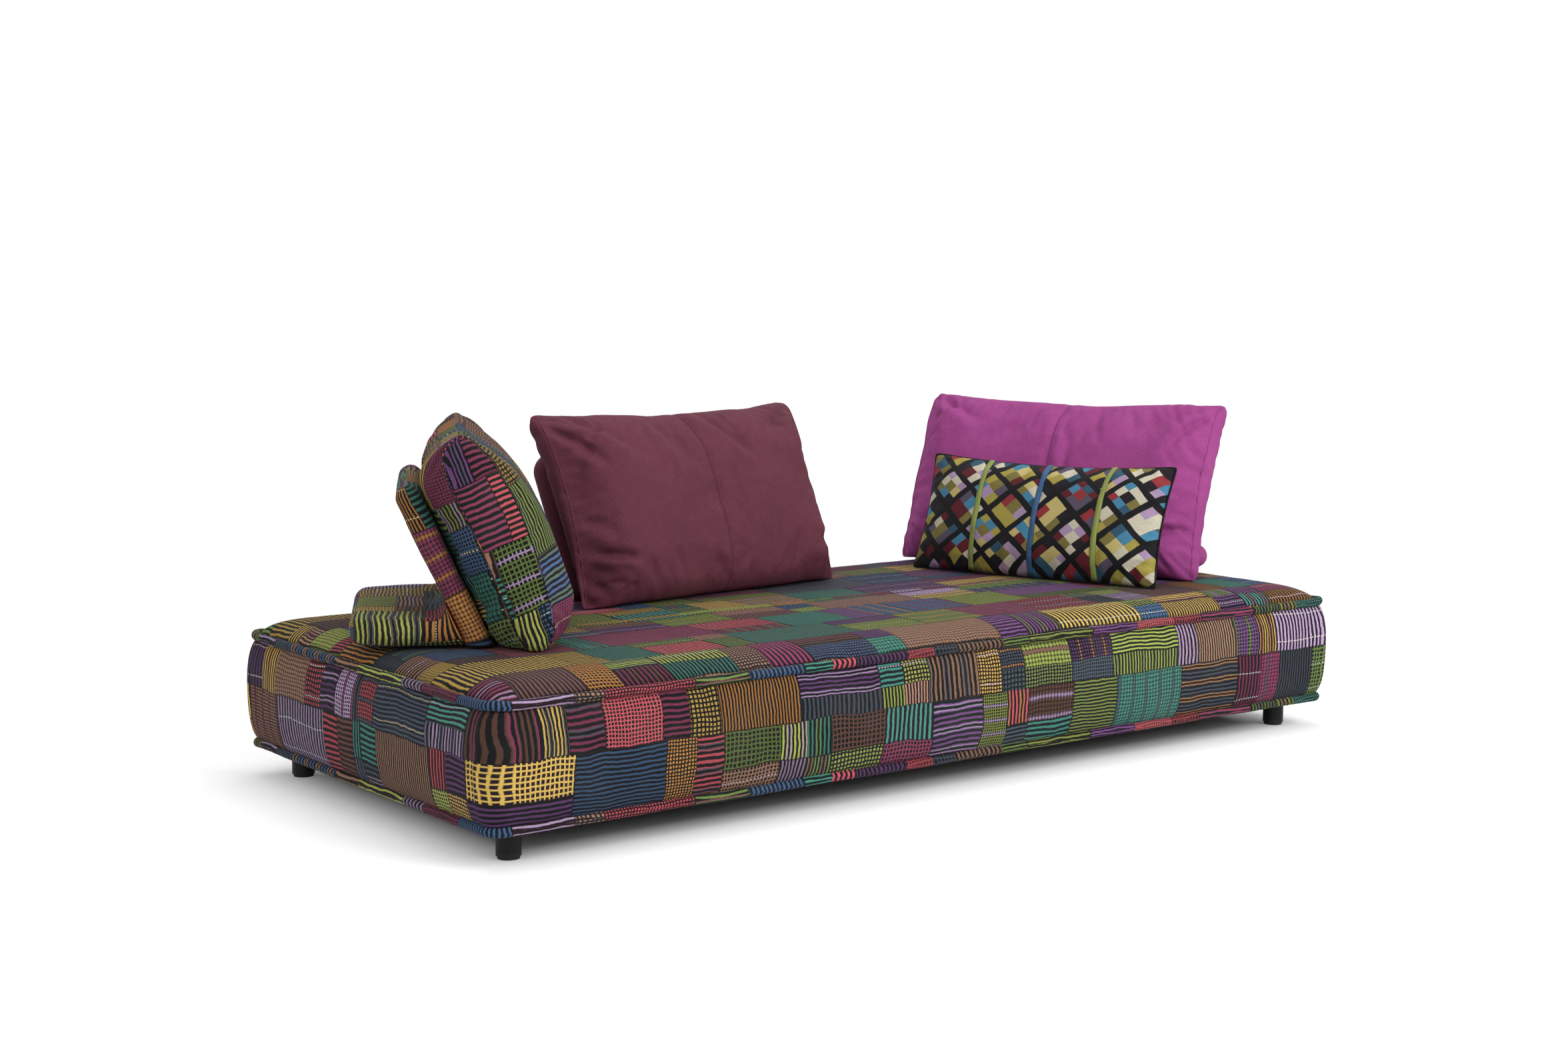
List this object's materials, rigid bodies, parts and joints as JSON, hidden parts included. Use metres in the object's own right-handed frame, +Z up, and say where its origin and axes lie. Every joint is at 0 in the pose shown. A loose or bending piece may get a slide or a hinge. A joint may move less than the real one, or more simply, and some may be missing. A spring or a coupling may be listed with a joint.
{
  "type": "three-seater sofa",
  "caption": "Low upholstered island sofa on short round legs, with loose weighted backrests, back cushions and a lumbar cushion that can stand anywhere on its flat top.",
  "frame": {"origin": "on the floor under the centre of the platform, which is the bottom centre of the whole sofa's box", "axes": "+Z up; +X towards the right end, along the sofa's length; the front long side faces -Y"},
  "size_m": [2.424, 1.0875, 0.79],
  "materials": {
    "leg_black": "black satin",
    "felt_glide": "pressed felt",
    "zinc_steel": "zinc plated",
    "frame_timber": "planed, untreated",
    "webbing": "woven elastic",
    "felt": "needled felt",
    "foam": "open-cell foam",
    "wadding": "quilted wadding",
    "dust_cloth": "spunbond cloth",
    "patchwork": "printed cotton velvet patchwork",
    "grip_sheet": "non-slip",
    "maroon_cloth": "plain twill",
    "magenta_cloth": "plain twill",
    "lumbar_cloth": "printed cotton",
    "green_ribbon": "grosgrain",
    "blue_ribbon": "grosgrain"
  },
  "bodies": {
    "platform": {"front_left_leg": "leg_black", "front_right_leg": "leg_black", "back_left_leg": "leg_black", "back_right_leg": "leg_black", "leg_glides": "felt_glide", "leg_studs": "zinc_steel", "leg_plates": "zinc_steel", "plate_screws": "zinc_steel", "front_rail": "frame_timber", "back_rail": "frame_timber", "left_end_rail": "frame_timber", "right_end_rail": "frame_timber", "cross_rails": "frame_timber", "corner_blocks": "frame_timber", "cross_straps": "webbing", "long_straps": "webbing", "felt_pad": "felt", "foam_core": "foam", "side_foam": "foam", "topper": "wadding", "dust_cloth": "dust_cloth", "side_border": "patchwork", "top_cover": "patchwork", "bottom_rolled_seam": "patchwork", "top_rolled_seam": "patchwork"},
    "left_backrest": {"left_grip_sheet": "grip_sheet", "left_base_plate": "zinc_steel", "left_back_board": "frame_timber", "left_shell": "patchwork", "left_foot": "patchwork"},
    "left_back_cushion": {"left_cushion": "patchwork"},
    "middle_backrest": {"middle_grip_sheet": "grip_sheet", "middle_base_plate": "zinc_steel", "middle_back_board": "frame_timber", "middle_shell": "maroon_cloth", "middle_foot": "maroon_cloth"},
    "middle_back_cushion": {"middle_cushion": "maroon_cloth"},
    "right_backrest": {"right_grip_sheet": "grip_sheet", "right_base_plate": "zinc_steel", "right_back_board": "frame_timber", "right_shell": "magenta_cloth", "right_foot": "magenta_cloth"},
    "right_back_cushion": {"right_cushion": "magenta_cloth"},
    "lumbar": {"lumbar_cushion": "lumbar_cloth", "green_ribbons": "green_ribbon", "blue_ribbon": "blue_ribbon"}
  },
  "joints": [
    {"name": "left_backrest_lift", "type": "slide", "parent": "platform", "child": "left_backrest", "axis": [0, 0, 1], "range_m": [0, 0.3]},
    {"name": "left_cushion_lift", "type": "slide", "parent": "left_backrest", "child": "left_back_cushion", "axis": [-0.3696, 0.2049, 0.9063], "range_m": [0, 0.25]},
    {"name": "middle_backrest_lift", "type": "slide", "parent": "platform", "child": "middle_backrest", "axis": [0, 0, 1], "range_m": [0, 0.3]},
    {"name": "middle_cushion_lift", "type": "slide", "parent": "middle_backrest", "child": "middle_back_cushion", "axis": [-0.0478, 0.4199, 0.9063], "range_m": [0, 0.25]},
    {"name": "right_backrest_lift", "type": "slide", "parent": "platform", "child": "right_backrest", "axis": [0, 0, 1], "range_m": [0, 0.3]},
    {"name": "right_cushion_lift", "type": "slide", "parent": "right_backrest", "child": "right_back_cushion", "axis": [0.3959, 0.148, 0.9063], "range_m": [0, 0.25]},
    {"name": "lumbar_lift", "type": "slide", "parent": "right_backrest", "child": "lumbar", "axis": [0, 0, 1], "range_m": [0, 0.2]}
  ]
}
